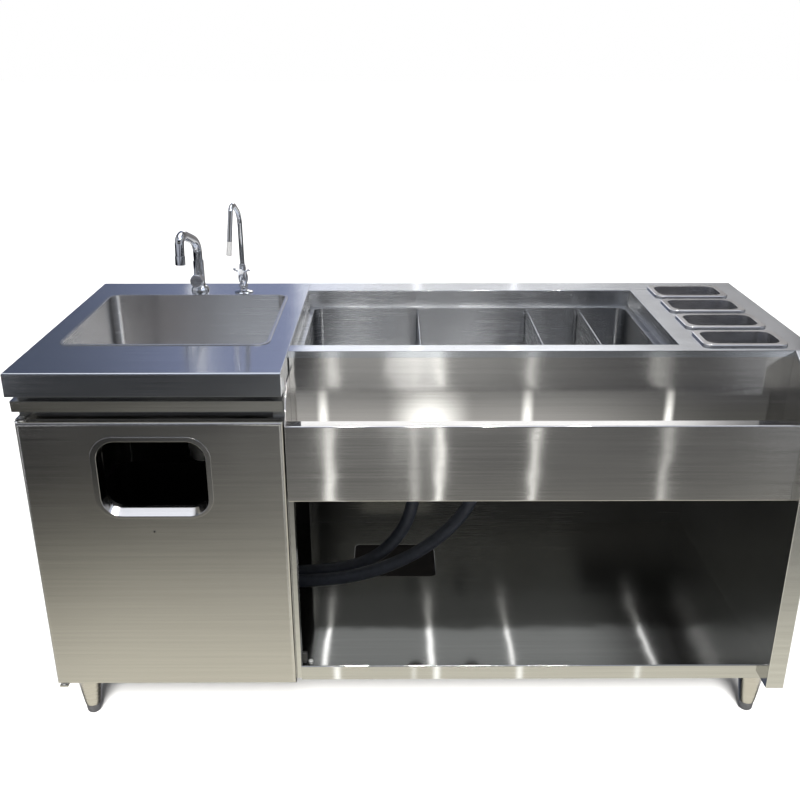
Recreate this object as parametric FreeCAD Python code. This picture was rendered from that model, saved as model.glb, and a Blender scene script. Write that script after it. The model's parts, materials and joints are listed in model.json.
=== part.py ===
import FreeCAD
import Part
import math
import os

# Portable cocktail station, in millimetres.
# +X is the operator's right, the operator stands at -Y, +Z is up and the floor is Z 0.

# Overall size
X_LEFT, X_RIGHT = -800.0, 800.0
Y_FRONT, Y_BACK = -350.0, 350.0
TOP_Z = 850.0
SHEET = 1.5
TOP_UNDERSIDE = TOP_Z - SHEET

# Sink top: the left part of the worktop, with the bowl and the taps
SINK_TOP_RIGHT = -273.0
DOWNSTAND_BOTTOM = 802.0
RETURN_WIDTH = 14.0
TOP_EDGE_RADIUS = 4.0
BOWL_X = (-745.0, -323.0)
BOWL_Y = (-171.0, 223.0)
BOWL_CORNER = 22.0
BOWL_BASE_RADIUS = 18.0
BOWL_FLOOR_Z = 631.5
RIM_WIDTH = 7.0
RIM_HEIGHT = 1.6
WASTE_AT = (-534.0, 110.0)
WASTE_HOLE_RADIUS = 44.0

# Ice well
WELL_X = (-271.5, 527.5)
WELL_Y = (-177.0, 271.5)
LEDGE_Z = 809.0
LEDGE_WIDTH = 15.0
TANK_FLOOR_Z = 550.0
TANK_CORNER = 20.0
JACKET_X = (-268.0, 540.0)
JACKET_Y = (-200.0, 290.0)
JACKET_Z = (515.0, 800.0)
DIVIDER_XS = (-1.0, 269.0, 398.0)
DIVIDER_THICKNESS = 3.0
FALSE_BOTTOM_Z = 562.0
DRAIN_Y = 105.0
DRAIN_XS = (-4.0, 150.0)
DRAIN_RADIUS = 16.0
DRAIN_END_Z = 470.0

# Speed rail
RAIL_FRONT_Y = -329.0
RAIL_BACK_Y = -215.5
RAIL_Z = (567.0, 732.0)
RAIL_HEM = 28.0
RAIL_FOLD_RADIUS = 3.0
BAR_FRONT_Y = -217.0
NOSING_DEPTH = 14.0

# Garnish pans
PAN_X = 662.0
PAN_YS = (-142.0, -12.0, 118.0, 248.0)
PAN_FLANGE = (176.0, 108.0)
PAN_MOUTH = (154.0, 86.0)
PAN_BASE = (142.0, 74.0)
PAN_OPENING = (158.0, 90.0)
PAN_RIM_HEIGHT = 5.0
PAN_DEPTH = 95.0
PAN_WALL = 1.2
PAN_CORNER = 24.0

# Carcass
PANEL_Z0 = 158.0
RIGHT_PANEL_X = (751.0, 790.0)
RIGHT_PANEL_BOTTOM = 121.0
SLOPE_FRONT_Z = 784.0
LEFT_PANEL_X = (-798.0, -778.0)
CABINET_FRONT_Y = -296.0
BACK_PANEL_Y = 346.0
STILE_X = (-296.0, -264.0)
STILE_Y = (-312.0, -282.0)
PARTITION_X = -290.0
DECK_Z = 158.0
APRON_Y = -317.0
APRON_BOTTOM = 123.0
APRON_FOLD_RADIUS = 2.5
PANEL_FOLD_RADIUS = 3.0
DECK_CUTOUT_X = (-166.0, 46.0)
DECK_CUTOUT_Y = (58.0, 222.0)

# Waste door and bin
DOOR_X = (-799.0, -274.5)
DOOR_Y = (-332.0, -314.0)
DOOR_Z = (122.0, 743.0)
DOOR_SHEET = 1.2
DOOR_EDGE_RADIUS = 9.0
HINGE_X, HINGE_Y = -785.0, -322.0
PIVOT_RADIUS = 4.0
RUNNING_CLEARANCE = 0.05
MOUTH_X = (-648.0, -431.0)
MOUTH_Z = (538.0, 702.0)
MOUTH_CORNER = 40.0
HOLE_X = (-642.0, -436.0)
HOLE_Z = (550.0, 700.0)
HOLE_CORNER = 34.0
FUNNEL_BACK_Y = -318.0
TRIM_X = (-660.0, -421.0)
TRIM_Z = (533.5, 711.5)
TRIM_CORNER = 48.0

# Feet
FOOT_X, FOOT_Y = 752.0, 262.0
FOOT_TOP = 122.0
FOOT_TIP_HEIGHT = 22.0

# Taps
BAR_TAP_AT = (-541.0, 278.0)
BAR_TAP_TURN = math.radians(14.0)
BAR_TAP_KNOB_Z = 882.0
BAR_TAP_TOP = 925.0
BAR_TAP_SHANK = 10.5
BAR_SPOUT_RADIUS = 11.0
GOOSENECK_AT = (-430.0, 259.0)
GOOSENECK_TURN = math.radians(9.0)
GOOSENECK_TOP = 914.0
GOOSENECK_SHANK = 7.5
SHANK_END_Z = 806.0
GOOSENECK_RADIUS = 5.75
HANDLE_Z = 881.0
HANDLE_RISE = math.radians(40.0)

# Drain hoses: hand-chosen points from the drain spigot to the manifold collar
HOSE_RADIUS = 16.0
MANIFOLD_X = -420.0
OUTLET_RADIUS = 21.5
OUTLET_Z = (60.0, 140.0)
COLLAR_FACE_X = -372.0
HOSE_LIE_Z = 178.0
HOSE_1_END_Y = 46.0
HOSE_2_END_Y = 2.0
HOSE_1 = (
    (DRAIN_XS[0], DRAIN_Y, DRAIN_END_Z),
    (DRAIN_XS[0], DRAIN_Y, 385.0),
    (-32.0, 93.0, 272.0),
    (-118.0, 64.0, 196.0),
    (-246.0, HOSE_1_END_Y, HOSE_LIE_Z),
    (COLLAR_FACE_X, HOSE_1_END_Y, HOSE_LIE_Z),
)
HOSE_2 = (
    (DRAIN_XS[1], DRAIN_Y, DRAIN_END_Z),
    (DRAIN_XS[1], DRAIN_Y, 390.0),
    (114.0, 94.0, 312.0),
    (25.0, 62.0, 240.0),
    (-100.0, 24.0, 194.0),
    (-240.0, HOSE_2_END_Y, HOSE_LIE_Z),
    (COLLAR_FACE_X, HOSE_2_END_Y, HOSE_LIE_Z),
)

UP = FreeCAD.Vector(0, 0, 1)
RIGHT = FreeCAD.Vector(1, 0, 0)
BACK = FreeCAD.Vector(0, 1, 0)


def vec(x, y, z):
    return FreeCAD.Vector(x, y, z)


def block(xs, ys, zs):
    size = (xs[1] - xs[0], ys[1] - ys[0], zs[1] - zs[0])
    return Part.makeBox(*size, vec(xs[0], ys[0], zs[0]))


def grown(span, by):
    return (span[0] - by, span[1] + by)


def rod(start, direction, radius, length):
    return Part.makeCylinder(radius, length, start, direction)


def rounded_wire(x_span, y_span, z, radius):
    """Rounded rectangle in a level plane."""
    x0, x1 = x_span
    y0, y1 = y_span
    d = radius * (1 - math.sqrt(0.5))
    r = radius
    edges = [
        Part.LineSegment(vec(x0 + r, y0, z), vec(x1 - r, y0, z)),
        Part.Arc(vec(x1 - r, y0, z), vec(x1 - d, y0 + d, z), vec(x1, y0 + r, z)),
        Part.LineSegment(vec(x1, y0 + r, z), vec(x1, y1 - r, z)),
        Part.Arc(vec(x1, y1 - r, z), vec(x1 - d, y1 - d, z), vec(x1 - r, y1, z)),
        Part.LineSegment(vec(x1 - r, y1, z), vec(x0 + r, y1, z)),
        Part.Arc(vec(x0 + r, y1, z), vec(x0 + d, y1 - d, z), vec(x0, y1 - r, z)),
        Part.LineSegment(vec(x0, y1 - r, z), vec(x0, y0 + r, z)),
        Part.Arc(vec(x0, y0 + r, z), vec(x0 + d, y0 + d, z), vec(x0 + r, y0, z)),
    ]
    return Part.Wire([edge.toShape() for edge in edges])


def rounded_block(xs, ys, zs, radius):
    """Block with rounded upright edges."""
    face = Part.Face(rounded_wire(xs, ys, zs[0], radius))
    return face.extrude(UP * (zs[1] - zs[0]))


def standing_block(xs, ys, zs, radius):
    """Block whose edges along Y are rounded, for openings in an upright sheet."""
    lying = rounded_block(xs, zs, (-ys[1], -ys[0]), radius)
    lying.rotate(vec(0, 0, 0), RIGHT, 90)
    return lying


def standing_loft(*rings):
    """Solid through rounded openings at different depths, each given as (x span, z span, y, corner)."""
    lying = Part.makeLoft([rounded_wire(xs, zs, -y, corner) for xs, zs, y, corner in rings], True, True)
    lying.rotate(vec(0, 0, 0), RIGHT, 90)
    return lying


def profile_prism(points, x_span):
    """Prism along X from a closed outline of (y, z) points."""
    corners = [vec(x_span[0], y, z) for y, z in points]
    face = Part.Face(Part.makePolygon(corners + corners[:1]))
    return face.extrude(RIGHT * (x_span[1] - x_span[0]))


def turned(points, at):
    """Solid of revolution about an upright axis from a closed outline of (radius, z) points."""
    corners = [vec(at[0] + radius, at[1], z) for radius, z in points]
    face = Part.Face(Part.makePolygon(corners + corners[:1]))
    return face.revolve(vec(at[0], at[1], 0), UP, 360)


def bend_radius(before, corner, after):
    """Largest bend that leaves a tenth of the shorter run straight."""
    turn = (corner - before).getAngle(after - corner)
    shorter = min((corner - before).Length, (after - corner).Length)
    return 0.45 * shorter / math.tan(turn / 2)


def bent_wire(points, radii):
    """Straight runs joined by tangent arcs, with one radius for each bend."""
    edges = []
    start = points[0]
    for before, corner, after, r in zip(points, points[1:], points[2:], radii):
        to_before = (before - corner).normalize()
        to_after = (after - corner).normalize()
        half_turn = (math.pi - to_before.getAngle(to_after)) / 2
        reach = r * math.tan(half_turn)
        middle = (to_before + to_after).normalize()
        arc_start = corner + to_before * reach
        arc_middle = corner + middle * (r / math.cos(half_turn) - r)
        arc_end = corner + to_after * reach
        edges.append(Part.LineSegment(start, arc_start).toShape())
        edges.append(Part.Arc(arc_start, arc_middle, arc_end).toShape())
        start = arc_end
    edges.append(Part.LineSegment(start, points[-1]).toShape())
    return Part.Wire(edges)


def tube_along(path, radius):
    """Round bar swept along a path of lines and arcs."""
    first = path.Edges[0]
    direction = first.tangentAt(first.FirstParameter)
    ring = Part.Wire([Part.makeCircle(radius, first.valueAt(first.FirstParameter), direction)])
    return path.makePipeShell([ring], True, False)


def fuse(solids):
    return solids[0].multiFuse(solids[1:]).removeSplitter()


def save(name, *solids):
    shape = solids[0] if len(solids) == 1 else Part.makeCompound(list(solids))
    if not shape.isValid():
        print("not valid:", name)
    if len(shape.Solids) != len(solids):
        print("solids in", name, len(shape.Solids), "expected", len(solids))
    shape.exportStep(f"parts/{name}.step")


def toward_sink(turn, reach, z, at):
    """Point at a reach from a tap's upright axis, in the direction of its spout."""
    return vec(at[0] - math.sin(turn) * reach, at[1] - math.cos(turn) * reach, z)


def sink_worktop():
    xs, ys = (X_LEFT, SINK_TOP_RIGHT), (Y_FRONT, Y_BACK)
    shell = block(xs, ys, (DOWNSTAND_BOTTOM, TOP_Z))
    shell = shell.makeFillet(TOP_EDGE_RADIUS, [
        edge for edge in shell.Edges
        if edge.BoundBox.ZMin > TOP_Z - 1 and edge.BoundBox.XMax < SINK_TOP_RIGHT + 1
        and not edge.BoundBox.XMin > SINK_TOP_RIGHT - 1
    ])
    hollow = block(grown(xs, -SHEET), grown(ys, -SHEET), (DOWNSTAND_BOTTOM + SHEET, TOP_UNDERSIDE))
    mouth = block(grown(xs, -RETURN_WIDTH), grown(ys, -RETURN_WIDTH), (DOWNSTAND_BOTTOM - 1, TOP_Z - 10))
    opening = rounded_block(grown(BOWL_X, SHEET + 0.5), grown(BOWL_Y, SHEET + 0.5),
                            (TOP_Z - 10, TOP_Z + 1), BOWL_CORNER + SHEET)
    shell = shell.cut(hollow).cut(mouth).cut(opening)
    for at, shank in ((BAR_TAP_AT, BAR_TAP_SHANK), (GOOSENECK_AT, GOOSENECK_SHANK)):
        shell = shell.cut(rod(vec(*at, TOP_Z - 10), UP, shank + 0.5, 20))
    return shell


def bar_top():
    xs, ys = (SINK_TOP_RIGHT, X_RIGHT), (BAR_FRONT_Y, Y_BACK)
    sheet = block(xs, ys, (TOP_UNDERSIDE, TOP_Z))
    back = block(xs, (Y_BACK - SHEET, Y_BACK), (DOWNSTAND_BOTTOM, TOP_Z))
    end = block((X_RIGHT - SHEET, X_RIGHT), ys, (DOWNSTAND_BOTTOM, TOP_Z))
    nosing = block((SINK_TOP_RIGHT, RIGHT_PANEL_X[0]), (BAR_FRONT_Y, BAR_FRONT_Y + SHEET),
                   (TOP_Z - NOSING_DEPTH, TOP_Z))
    top = fuse([sheet, back, end, nosing])
    top = top.makeFillet(TOP_EDGE_RADIUS, [
        edge for edge in top.Edges
        if edge.BoundBox.ZMin > TOP_Z - 1 and (edge.BoundBox.YMin > Y_BACK - 1 or edge.BoundBox.XMin > X_RIGHT - 1)
    ])
    well = block((SINK_TOP_RIGHT - 1, WELL_X[1]), WELL_Y, (TOP_Z - 10, TOP_Z + 1))
    top = top.cut(well)
    for y in PAN_YS:
        half = [size / 2 for size in PAN_OPENING]
        top = top.cut(rounded_block((PAN_X - half[0], PAN_X + half[0]), (y - half[1], y + half[1]),
                                    (TOP_Z - 10, TOP_Z + 1), PAN_CORNER))
    return top


def sink_bowl():
    def bowl(by, floor, top):
        solid = rounded_block(grown(BOWL_X, by), grown(BOWL_Y, by), (floor, top), BOWL_CORNER + by)
        bottom = [edge for edge in solid.Edges if edge.BoundBox.ZMax < floor + 0.1]
        return solid.makeFillet(BOWL_BASE_RADIUS + by, bottom)
    rim = rounded_block(grown(BOWL_X, RIM_WIDTH), grown(BOWL_Y, RIM_WIDTH), (TOP_Z, TOP_Z + RIM_HEIGHT),
                        BOWL_CORNER + RIM_WIDTH)
    outside = bowl(SHEET, BOWL_FLOOR_Z - SHEET, TOP_Z)
    inside = bowl(0, BOWL_FLOOR_Z, TOP_Z + 5)
    waste_hole = rod(vec(*WASTE_AT, BOWL_FLOOR_Z - 10), UP, WASTE_HOLE_RADIUS, 20)
    return fuse([rim, outside]).cut(inside).cut(waste_hole)


def sink_waste_body():
    floor = BOWL_FLOOR_Z
    outline = (
        (41.0, floor + 2.0), (55.0, floor + 1.0), (55.0, floor), (43.5, floor), (43.5, floor - 40.0),
        (20.0, floor - 44.0), (20.0, floor - 70.0), (17.0, floor - 70.0), (17.0, floor - 41.5),
        (41.0, floor - 38.0),
    )
    return turned(outline, WASTE_AT)


def strainer_basket():
    floor = BOWL_FLOOR_Z
    outline = (
        (0.0, floor - 34.0), (34.0, floor - 34.0), (39.5, floor - 2.0), (38.3, floor - 2.0),
        (33.0, floor - 32.6), (5.0, floor - 32.6), (5.0, floor - 8.0), (9.0, floor - 6.0),
        (9.0, floor - 2.0), (0.0, floor - 1.0),
    )
    basket = turned(outline, WASTE_AT)
    hole_count = 10
    for step in range(hole_count):
        angle = 2 * math.pi * step / hole_count
        at = vec(WASTE_AT[0] + 20 * math.cos(angle), WASTE_AT[1] + 20 * math.sin(angle), floor - 40)
        basket = basket.cut(rod(at, UP, 3.0, 12))
    return basket


def sink_trap():
    """Bottle trap: inlet tail, bottle, and an outlet that runs right and down to the manifold stack."""
    inlet_top = BOWL_FLOOR_Z - 70.0
    bottle = turned(((0, 470.0), (24.0, 470.0), (31.0, 480.0), (31.0, 545.0), (20.0, 550.0),
                     (20.0, inlet_top), (0, inlet_top)), WASTE_AT)
    outlet = tube_along(bent_wire([
        vec(WASTE_AT[0] + 20, WASTE_AT[1], 525.0),
        vec(MANIFOLD_X, WASTE_AT[1], 525.0),
        vec(MANIFOLD_X, WASTE_AT[1], 420.0),
    ], (40.0,)), 20.0)
    collar = rod(vec(WASTE_AT[0], WASTE_AT[1], 500.0), UP, 33.0, 8.0)
    return fuse([bottle, collar, outlet])


def drain_manifold():
    """Stack through the deck, with a header and two collars that take the well's hoses."""
    outlet_end, outlet_top = OUTLET_Z
    outlet = rod(vec(MANIFOLD_X, WASTE_AT[1], outlet_end), UP, OUTLET_RADIUS, outlet_top - outlet_end)
    stack = rod(vec(MANIFOLD_X, WASTE_AT[1], outlet_top), UP, 24.0, 420.0 - outlet_top)
    socket = rod(vec(MANIFOLD_X, WASTE_AT[1], 395.0), UP, 28.0, 25.0)
    header = rod(vec(MANIFOLD_X, -14.0, HOSE_LIE_Z), BACK, 16.0, WASTE_AT[1] + 14.0)
    pieces = [outlet, stack, socket, header]
    for y in (HOSE_1_END_Y, HOSE_2_END_Y):
        pieces.append(rod(vec(MANIFOLD_X, y, HOSE_LIE_Z), RIGHT, 13.0, COLLAR_FACE_X - MANIFOLD_X))
        pieces.append(rod(vec(COLLAR_FACE_X - 20, y, HOSE_LIE_Z), RIGHT, 18.0, 20.0))
    return fuse(pieces)


def well_drain(x):
    """Flanged spigot through the tank floor, the insulation and the jacket."""
    outline = (
        (11.0, DRAIN_END_Z), (18.0, DRAIN_END_Z), (18.0, DRAIN_END_Z + 18), (DRAIN_RADIUS, DRAIN_END_Z + 18),
        (DRAIN_RADIUS, TANK_FLOOR_Z), (26.0, TANK_FLOOR_Z), (26.0, TANK_FLOOR_Z + 1.5),
        (11.0, TANK_FLOOR_Z + 1.5),
    )
    return turned(outline, (x, DRAIN_Y))


def hose_clamp(x):
    """Worm-drive band round the end of a spigot."""
    band = turned(((18.0, DRAIN_END_Z + 3), (20.0, DRAIN_END_Z + 3), (20.0, DRAIN_END_Z + 13),
                   (18.0, DRAIN_END_Z + 13)), (x, DRAIN_Y))
    screw_box = block((x - 7, x + 7), (DRAIN_Y - 27, DRAIN_Y - 19.5), (DRAIN_END_Z + 4, DRAIN_END_Z + 12))
    return fuse([band, screw_box])


def ice_well_liner():
    collar_x, collar_y = grown(WELL_X, SHEET), grown(WELL_Y, SHEET)
    tank_x, tank_y = grown(WELL_X, -LEDGE_WIDTH), grown(WELL_Y, -LEDGE_WIDTH)
    collar = block(collar_x, collar_y, (LEDGE_Z - SHEET, TOP_UNDERSIDE))
    tank = rounded_block(grown(tank_x, SHEET), grown(tank_y, SHEET), (TANK_FLOOR_Z - SHEET, LEDGE_Z - SHEET),
                         TANK_CORNER + SHEET)
    hollow_collar = block(WELL_X, WELL_Y, (LEDGE_Z, TOP_Z))
    hollow_tank = rounded_block(tank_x, tank_y, (TANK_FLOOR_Z, TOP_Z), TANK_CORNER)
    liner = fuse([collar, tank]).cut(hollow_collar).cut(hollow_tank)
    return liner.cut(drain_bores(DRAIN_RADIUS))


def drain_bores(radius):
    bores = [rod(vec(x, DRAIN_Y, JACKET_Z[0] - 20), UP, radius, 80) for x in DRAIN_XS]
    return Part.makeCompound(bores)


def ice_well_insulation():
    core = block(grown(JACKET_X, -SHEET), grown(JACKET_Y, -SHEET), (JACKET_Z[0] + SHEET, JACKET_Z[1]))
    by = SHEET - LEDGE_WIDTH
    tank = rounded_block(grown(WELL_X, by), grown(WELL_Y, by), (TANK_FLOOR_Z - SHEET, JACKET_Z[1] + 1),
                         TANK_CORNER + SHEET)
    return core.cut(tank).cut(drain_bores(DRAIN_RADIUS))


def ice_well_jacket():
    inside = block(grown(JACKET_X, -SHEET), grown(JACKET_Y, -SHEET), (JACKET_Z[0] + SHEET, JACKET_Z[1] + 1))
    return block(JACKET_X, JACKET_Y, JACKET_Z).cut(inside).cut(drain_bores(DRAIN_RADIUS))


def false_bottom():
    """Perforated plate with two folded legs that hold it off the tank floor."""
    x0, x1 = grown(WELL_X, -LEDGE_WIDTH - 4)
    y0, y1 = grown(WELL_Y, -LEDGE_WIDTH - 4)
    plate = rounded_block((x0, x1), (y0, y1), (FALSE_BOTTOM_Z - SHEET, FALSE_BOTTOM_Z), TANK_CORNER)
    slot_count, slot_length, slot_width = 13, 150.0, 9.0
    pitch = (x1 - x0) / slot_count
    slots = []
    for step in range(slot_count):
        x = x0 + pitch * (step + 0.5)
        for y in (y0 + 0.26 * (y1 - y0), y0 + 0.74 * (y1 - y0)):
            slots.append(rounded_block((x - slot_width / 2, x + slot_width / 2),
                                       (y - slot_length / 2, y + slot_length / 2),
                                       (FALSE_BOTTOM_Z - 5, FALSE_BOTTOM_Z + 5), 4.0))
    plate = plate.cut(Part.makeCompound(slots))
    legs = [block((x0 + 20, x1 - 20), (y, y + SHEET), (TANK_FLOOR_Z, FALSE_BOTTOM_Z))
            for y in (y0, y1 - SHEET)]
    return fuse([plate] + legs)


def divider_guide(x, wall_y, inward):
    """Channel on a tank wall that holds one upright edge of a divider."""
    depth, half_width, half_slot = 8.0, 7.0, DIVIDER_THICKNESS / 2 + 0.5
    y_in = wall_y + inward * depth
    outer = block((x - half_width, x + half_width), sorted((wall_y, y_in)), (FALSE_BOTTOM_Z, 796.0))
    slot = block((x - half_slot, x + half_slot), sorted((wall_y + inward * SHEET, y_in + inward)),
                 (FALSE_BOTTOM_Z - 1, 797.0))
    return outer.cut(slot)


def divider(x):
    ys = grown(WELL_Y, -LEDGE_WIDTH - 2.2)
    half = DIVIDER_THICKNESS / 2
    sheet = block((x - half, x + half), ys, (FALSE_BOTTOM_Z, LEDGE_Z - 4))
    bead = rod(vec(x, ys[0], LEDGE_Z - 4), BACK, 3.0, ys[1] - ys[0])
    return fuse([sheet, bead])


def speed_rail():
    """One folded trough: front with a hem, floor, and a back that rises to the bar top."""
    xs = (SINK_TOP_RIGHT + SHEET, RIGHT_PANEL_X[0])
    z0, z1 = RAIL_Z
    front = block(xs, (RAIL_FRONT_Y, RAIL_FRONT_Y + SHEET), (z0, z1))
    floor = block(xs, (RAIL_FRONT_Y, RAIL_BACK_Y + SHEET), (z0, z0 + SHEET))
    back = block(xs, (RAIL_BACK_Y, RAIL_BACK_Y + SHEET), (z0, TOP_UNDERSIDE))
    hem = block(xs, (RAIL_FRONT_Y, RAIL_FRONT_Y + RAIL_HEM), (z1 - SHEET, z1))
    tongue = block(xs, (RAIL_FRONT_Y + RAIL_HEM - SHEET, RAIL_FRONT_Y + RAIL_HEM), (z1 - 12.0, z1))
    rail = fuse([front, floor, back, hem, tongue])
    return rail.makeFillet(RAIL_FOLD_RADIUS, [
        edge for edge in rail.Edges if edge.BoundBox.YMax < RAIL_FRONT_Y + 0.1 and edge.Length > xs[1] - xs[0] - 1
    ])


def rail_end_plate():
    outline = (
        (RAIL_FRONT_Y, RAIL_Z[0]), (RAIL_BACK_Y + SHEET, RAIL_Z[0]), (RAIL_BACK_Y + SHEET, DOWNSTAND_BOTTOM),
        (-270.0, DOWNSTAND_BOTTOM), (RAIL_FRONT_Y, RAIL_Z[1]),
    )
    return profile_prism(outline, (SINK_TOP_RIGHT, SINK_TOP_RIGHT + SHEET))


def pan_wire(size, y, z, radius):
    half_x, half_y = size[0] / 2, size[1] / 2
    return rounded_wire((PAN_X - half_x, PAN_X + half_x), (y - half_y, y + half_y), z, radius)


def garnish_pan(y):
    """Ninth-size pan: a tapered body under a flange whose turned-down lip stands on the bar top."""
    def smaller(size):
        return [length - 2 * PAN_WALL for length in size]
    rim_z = TOP_Z + PAN_RIM_HEIGHT
    base_z = rim_z - PAN_DEPTH
    body = Part.makeLoft([
        pan_wire(PAN_BASE, y, base_z, PAN_CORNER),
        pan_wire(PAN_MOUTH, y, rim_z, PAN_CORNER),
    ], True, True)
    flange_corner = PAN_CORNER - 6.0
    flange = Part.Face(pan_wire(PAN_FLANGE, y, TOP_Z, flange_corner)).extrude(UP * PAN_RIM_HEIGHT)
    flange = flange.makeFillet(2.0, [edge for edge in flange.Edges if edge.BoundBox.ZMin > rim_z - 0.1])
    under = Part.Face(pan_wire(smaller(PAN_FLANGE), y, TOP_Z, flange_corner - PAN_WALL))
    flange = flange.cut(under.extrude(UP * (PAN_RIM_HEIGHT - PAN_WALL)))
    hollow = Part.makeLoft([
        pan_wire(smaller(PAN_BASE), y, base_z + PAN_WALL, PAN_CORNER - PAN_WALL),
        pan_wire(smaller(PAN_MOUTH), y, rim_z + 0.01, PAN_CORNER - PAN_WALL),
    ], True, True)
    return fuse([flange, body]).cut(hollow)


def garnish_housing():
    xs, ys, zs = (548.0, 746.0), (-206.0, 312.0), (735.0, TOP_UNDERSIDE)
    inside = block(grown(xs, -SHEET), grown(ys, -SHEET), (zs[0] + SHEET, zs[1] + 1))
    return block(xs, ys, zs).cut(inside)


def right_side_panel():
    """Hollow end panel with a sloped top in front of the bar and a nib that covers the deck's end."""
    def panel(by, xs, shoulder):
        return profile_prism((
            (Y_FRONT + by, RIGHT_PANEL_BOTTOM - by), (APRON_Y - by, RIGHT_PANEL_BOTTOM - by),
            (APRON_Y - by, PANEL_Z0 + by), (BACK_PANEL_Y - by, PANEL_Z0 + by),
            (BACK_PANEL_Y - by, TOP_UNDERSIDE - by), *shoulder, (Y_FRONT + by, SLOPE_FRONT_Z - by),
        ), xs)
    shoulder_y = BAR_FRONT_Y - 0.2
    outside = panel(0, RIGHT_PANEL_X, ((shoulder_y, TOP_UNDERSIDE), (shoulder_y, TOP_Z)))
    outside = outside.makeFillet(PANEL_FOLD_RADIUS, [
        edge for edge in outside.Edges
        if edge.BoundBox.YMax < shoulder_y + 0.1 and edge.BoundBox.ZMax > SLOPE_FRONT_Z - 1
        and edge.BoundBox.YMin < Y_FRONT + 0.1
    ])
    inside = panel(SHEET, grown(RIGHT_PANEL_X, -SHEET), ((shoulder_y - SHEET, TOP_UNDERSIDE - SHEET),))
    return outside.cut(inside)


def left_side_panel():
    xs, ys, zs = LEFT_PANEL_X, (CABINET_FRONT_Y, BACK_PANEL_Y), (PANEL_Z0, DOWNSTAND_BOTTOM)
    inside = block((xs[0] + SHEET, xs[1] + 1), grown(ys, -SHEET), grown(zs, -SHEET))
    lips = [block((xs[1] - SHEET, xs[1]), (y, y + 14.0), zs) for y in (ys[0], ys[1] - 14.0)]
    return fuse([block(xs, ys, zs).cut(inside)] + lips)


def partition_panel():
    """Front stile and a sheet with a service opening that the well's hoses pass through."""
    def channel(xs, zs):
        inside = block(grown(xs, -SHEET), (STILE_Y[0] + SHEET, STILE_Y[1] + 1), grown(zs, 1))
        return block(xs, STILE_Y, zs).cut(inside)
    stile = fuse([
        channel(STILE_X, (APRON_BOTTOM, RAIL_Z[0])),
        channel((STILE_X[0], SINK_TOP_RIGHT), (RAIL_Z[0], DOWNSTAND_BOTTOM)),
    ])
    lip = block((STILE_X[0], PARTITION_X + SHEET), (STILE_Y[1] - SHEET, STILE_Y[1]),
                (DECK_Z, DOWNSTAND_BOTTOM))
    sheet = block((PARTITION_X, PARTITION_X + SHEET), (STILE_Y[1] - SHEET, BACK_PANEL_Y),
                  (DECK_Z, DOWNSTAND_BOTTOM))
    service = standing_block((-262.0, 250.0), (-20.0, 20.0), (DECK_Z - 40.0, 460.0), 30.0)
    service.rotate(vec(0, 0, 0), UP, 90)
    service.translate(vec(PARTITION_X, 0, 0))
    return fuse([stile, lip, sheet.cut(service)])


def back_panel():
    sheet = block((LEFT_PANEL_X[0], RIGHT_PANEL_X[1]), (BACK_PANEL_Y, BACK_PANEL_Y + SHEET),
                  (APRON_BOTTOM, DOWNSTAND_BOTTOM))
    foot_fold = block((LEFT_PANEL_X[0], RIGHT_PANEL_X[1]), (BACK_PANEL_Y - 12.0, BACK_PANEL_Y + SHEET),
                      (APRON_BOTTOM - SHEET, APRON_BOTTOM))
    return fuse([sheet, foot_fold])


def base_deck():
    """Full-width deck with folded aprons, set back behind the door and round the stile."""
    x0, x1 = LEFT_PANEL_X[0], RIGHT_PANEL_X[1]
    y1 = BACK_PANEL_Y
    sheet_z, apron_z = (DECK_Z - SHEET, DECK_Z), (APRON_BOTTOM, DECK_Z)
    pieces = [
        block((x0, STILE_X[0]), (CABINET_FRONT_Y, y1), sheet_z),
        block(STILE_X, (STILE_Y[1], y1), sheet_z),
        block((STILE_X[1], x1), (APRON_Y, y1), sheet_z),
        block((x0, STILE_X[0]), (CABINET_FRONT_Y, CABINET_FRONT_Y + SHEET), apron_z),
        block((STILE_X[1], x1), (APRON_Y, APRON_Y + SHEET), apron_z),
        block((STILE_X[1], x1), (APRON_Y, APRON_Y + 18.0), (APRON_BOTTOM, APRON_BOTTOM + SHEET)),
        block((x0, x0 + SHEET), (CABINET_FRONT_Y, y1), apron_z),
        block((x1 - SHEET, x1), (APRON_Y, y1), apron_z),
    ]
    deck = fuse(pieces)
    deck = deck.makeFillet(APRON_FOLD_RADIUS, [
        edge for edge in deck.Edges if edge.BoundBox.YMax < APRON_Y + 0.1 and edge.BoundBox.ZMin > DECK_Z - 0.1
    ])
    deck = deck.cut(rounded_block(DECK_CUTOUT_X, DECK_CUTOUT_Y, (DECK_Z - 10, DECK_Z + 10), 14.0))
    return deck.cut(rod(vec(MANIFOLD_X, WASTE_AT[1], DECK_Z - 20), UP, 26.0, 40))


def deck_stiffener(x):
    """Channel under the deck, from the front apron to the back."""
    half, depth = 20.0, 22.0
    ys, zs = (-280.0, 330.0), (DECK_Z - SHEET - depth, DECK_Z - SHEET)
    return block((x - half, x + half), ys, zs).cut(
        block((x - half + SHEET, x + half - SHEET), grown(ys, 1), (zs[0] + SHEET, zs[1] + 1)))


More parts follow.
